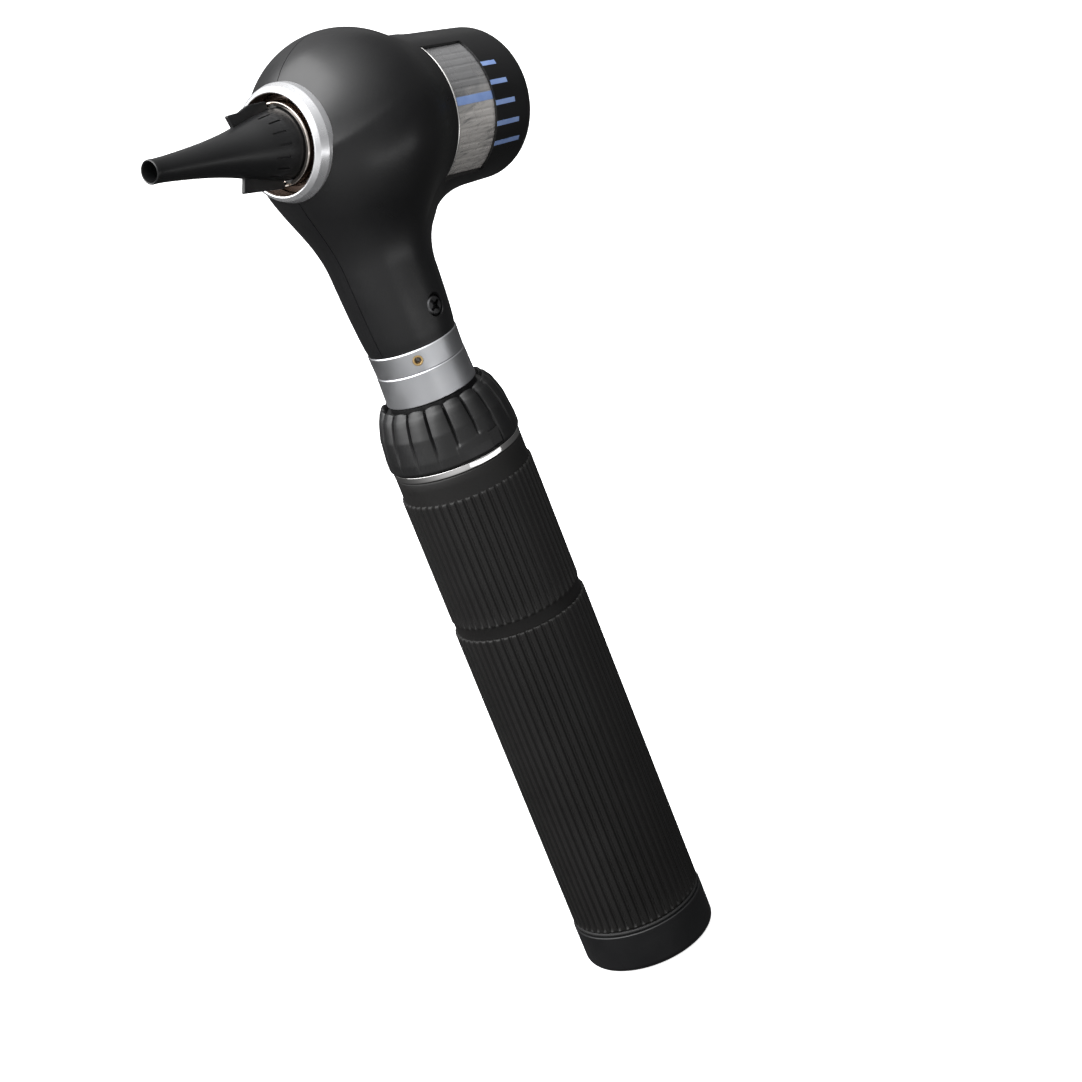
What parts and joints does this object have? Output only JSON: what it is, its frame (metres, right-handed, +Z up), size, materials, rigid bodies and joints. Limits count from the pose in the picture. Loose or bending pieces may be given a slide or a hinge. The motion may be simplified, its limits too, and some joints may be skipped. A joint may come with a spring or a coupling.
{
  "type": "otoscope",
  "caption": "Handheld otoscope: optical head with focus wheel and ear speculum on a ribbed battery handle with a rheostat collar and bayonet mount.",
  "frame": {"origin": "centre of the end cap's flat bottom face", "axes": "+Z up the handle's axis towards the head; -X the side the speculum points to (optical axis in the XZ plane, tilted 13.5 degrees up at the front); -Y the user's left"},
  "size_m": [0.0955, 0.0463, 0.2098],
  "materials": {
    "black_plastic": "satin moulded",
    "black_collar": "semi-gloss moulded",
    "black_rubber": "matt",
    "grip_rubber": "matt ribbed",
    "satin_aluminium": "satin",
    "wheel_aluminium": "knurled, bright",
    "chrome": "polished",
    "blue_inlay": "matt ink",
    "brass": "machined",
    "black_anodised": "black anodised",
    "lens_glass": "clear, polished",
    "lamp_glass": "clear",
    "fibre": "ground fibre ends",
    "fibre_jacket": "woven sleeve",
    "ivory_plastic": "moulded insulator",
    "spring_steel": "drawn wire",
    "screw_steel": "black oxide",
    "nickel_tube": "drawn tube",
    "cell_jacket": "plain cell jacket",
    "resistor": "resistive track"
  },
  "bodies": {
    "handle": {"handle_post": "chrome", "post_insulator": "ivory_plastic", "rheostat_track": "resistor", "chrome_ring": "chrome", "grip_upper": "grip_rubber", "grip_lower": "grip_rubber", "battery_tube": "nickel_tube", "contact_carrier": "ivory_plastic", "top_contact": "brass", "cell_upper": "cell_jacket", "cell_lower": "cell_jacket", "contact_spring": "spring_steel"},
    "cap_carrier": {"spring_plate": "brass", "battery_spring": "spring_steel"},
    "cap": {"end_cap": "black_plastic", "cap_seal": "black_rubber"},
    "collar": {"rheostat_collar": "black_collar", "rheostat_wiper": "brass", "lock_spring": "spring_steel"},
    "lock": {"lock_button": "black_collar"},
    "contact": {"contact_pin": "brass"},
    "bayonet": {"bayonet_washer": "brass"},
    "head": {"head_shell_left": "black_plastic", "head_shell_right": "black_plastic", "head_screws": "screw_steel", "bezel_ring": "satin_aluminium", "speculum_holder": "chrome", "front_window": "lens_glass", "fibre_ring": "fibre", "fibre_bundle": "fibre_jacket", "lamp_bulb": "lamp_glass", "lamp_base": "spring_steel", "lamp_socket": "brass", "optical_tube": "black_anodised", "objective_lens": "lens_glass", "guide_tube": "black_anodised", "eyepiece_ring": "black_rubber", "eyepiece_lens": "lens_glass", "scale_marks": "blue_inlay", "insufflation_port": "chrome", "port_seal": "black_rubber", "neck_ring": "satin_aluminium", "bayonet_skirt": "satin_aluminium", "ring_set_screw": "brass"},
    "lock_ring": {"speculum_lock_ring": "chrome"},
    "speculum": {"speculum": "black_plastic"},
    "focus_wheel": {"focus_wheel": "wheel_aluminium", "wheel_index": "blue_inlay", "focus_cam": "black_anodised"},
    "lens_carriage": {"lens_cell": "black_anodised", "focus_lens": "lens_glass", "follower_pin": "spring_steel"}
  },
  "joints": [
    {"name": "cap_travel", "type": "slide", "parent": "handle", "child": "cap_carrier", "axis": [0, 0, -1], "range_m": [0, 0.006]},
    {"name": "cap_turn", "type": "hinge", "parent": "cap_carrier", "child": "cap", "pos_m": [0, 0, 0], "axis": [0, 0, -1], "range_deg": [0, 1082]},
    {"name": "collar_turn", "type": "hinge", "parent": "handle", "child": "collar", "pos_m": [0, 0, 0.128], "axis": [0, 0, 1], "range_deg": [0, 100]},
    {"name": "lock_press", "type": "slide", "parent": "collar", "child": "lock", "axis": [0.1305, 0.9914, 0], "range_m": [0, 0.0008], "stiffness_N_per_m": 900, "springref_m": -0.0004},
    {"name": "contact_press", "type": "slide", "parent": "handle", "child": "contact", "axis": [0, 0, -1], "range_m": [0, 0.0015], "stiffness_N_per_m": 500, "springref_m": -0.001, "deforming": ["contact_spring"]},
    {"name": "head_turn", "type": "hinge", "parent": "handle", "child": "bayonet", "pos_m": [0, 0, 0.137], "axis": [0, 0, 1], "range_deg": [0, 50]},
    {"name": "head_lift", "type": "slide", "parent": "bayonet", "child": "head", "axis": [0, 0, 1], "range_m": [0, 0.03]},
    {"name": "speculum_turn", "type": "hinge", "parent": "head", "child": "lock_ring", "pos_m": [-0.01167, 0, 0.1938], "axis": [-0.9724, 0, 0.2334], "range_deg": [0, 25]},
    {"name": "speculum_pull", "type": "slide", "parent": "lock_ring", "child": "speculum", "axis": [-0.9724, 0, 0.2334], "range_m": [0, 0.04]},
    {"name": "focus_turn", "type": "hinge", "parent": "head", "child": "focus_wheel", "pos_m": [0.02655, 0, 0.18463], "axis": [-0.9724, 0, 0.2334], "range_deg": [-36, 23]},
    {"name": "lens_travel", "type": "slide", "parent": "head", "child": "lens_carriage", "axis": [-0.9724, 0, 0.2334], "range_m": [-0.00175, 0.00112]}
  ],
  "couplings": [
    {"joint": "cap_turn", "follows": "cap_travel", "rad_per_m": 3141.6},
    {"joint": "focus_turn", "follows": "lens_travel", "rad_per_m": 357.14}
  ]
}
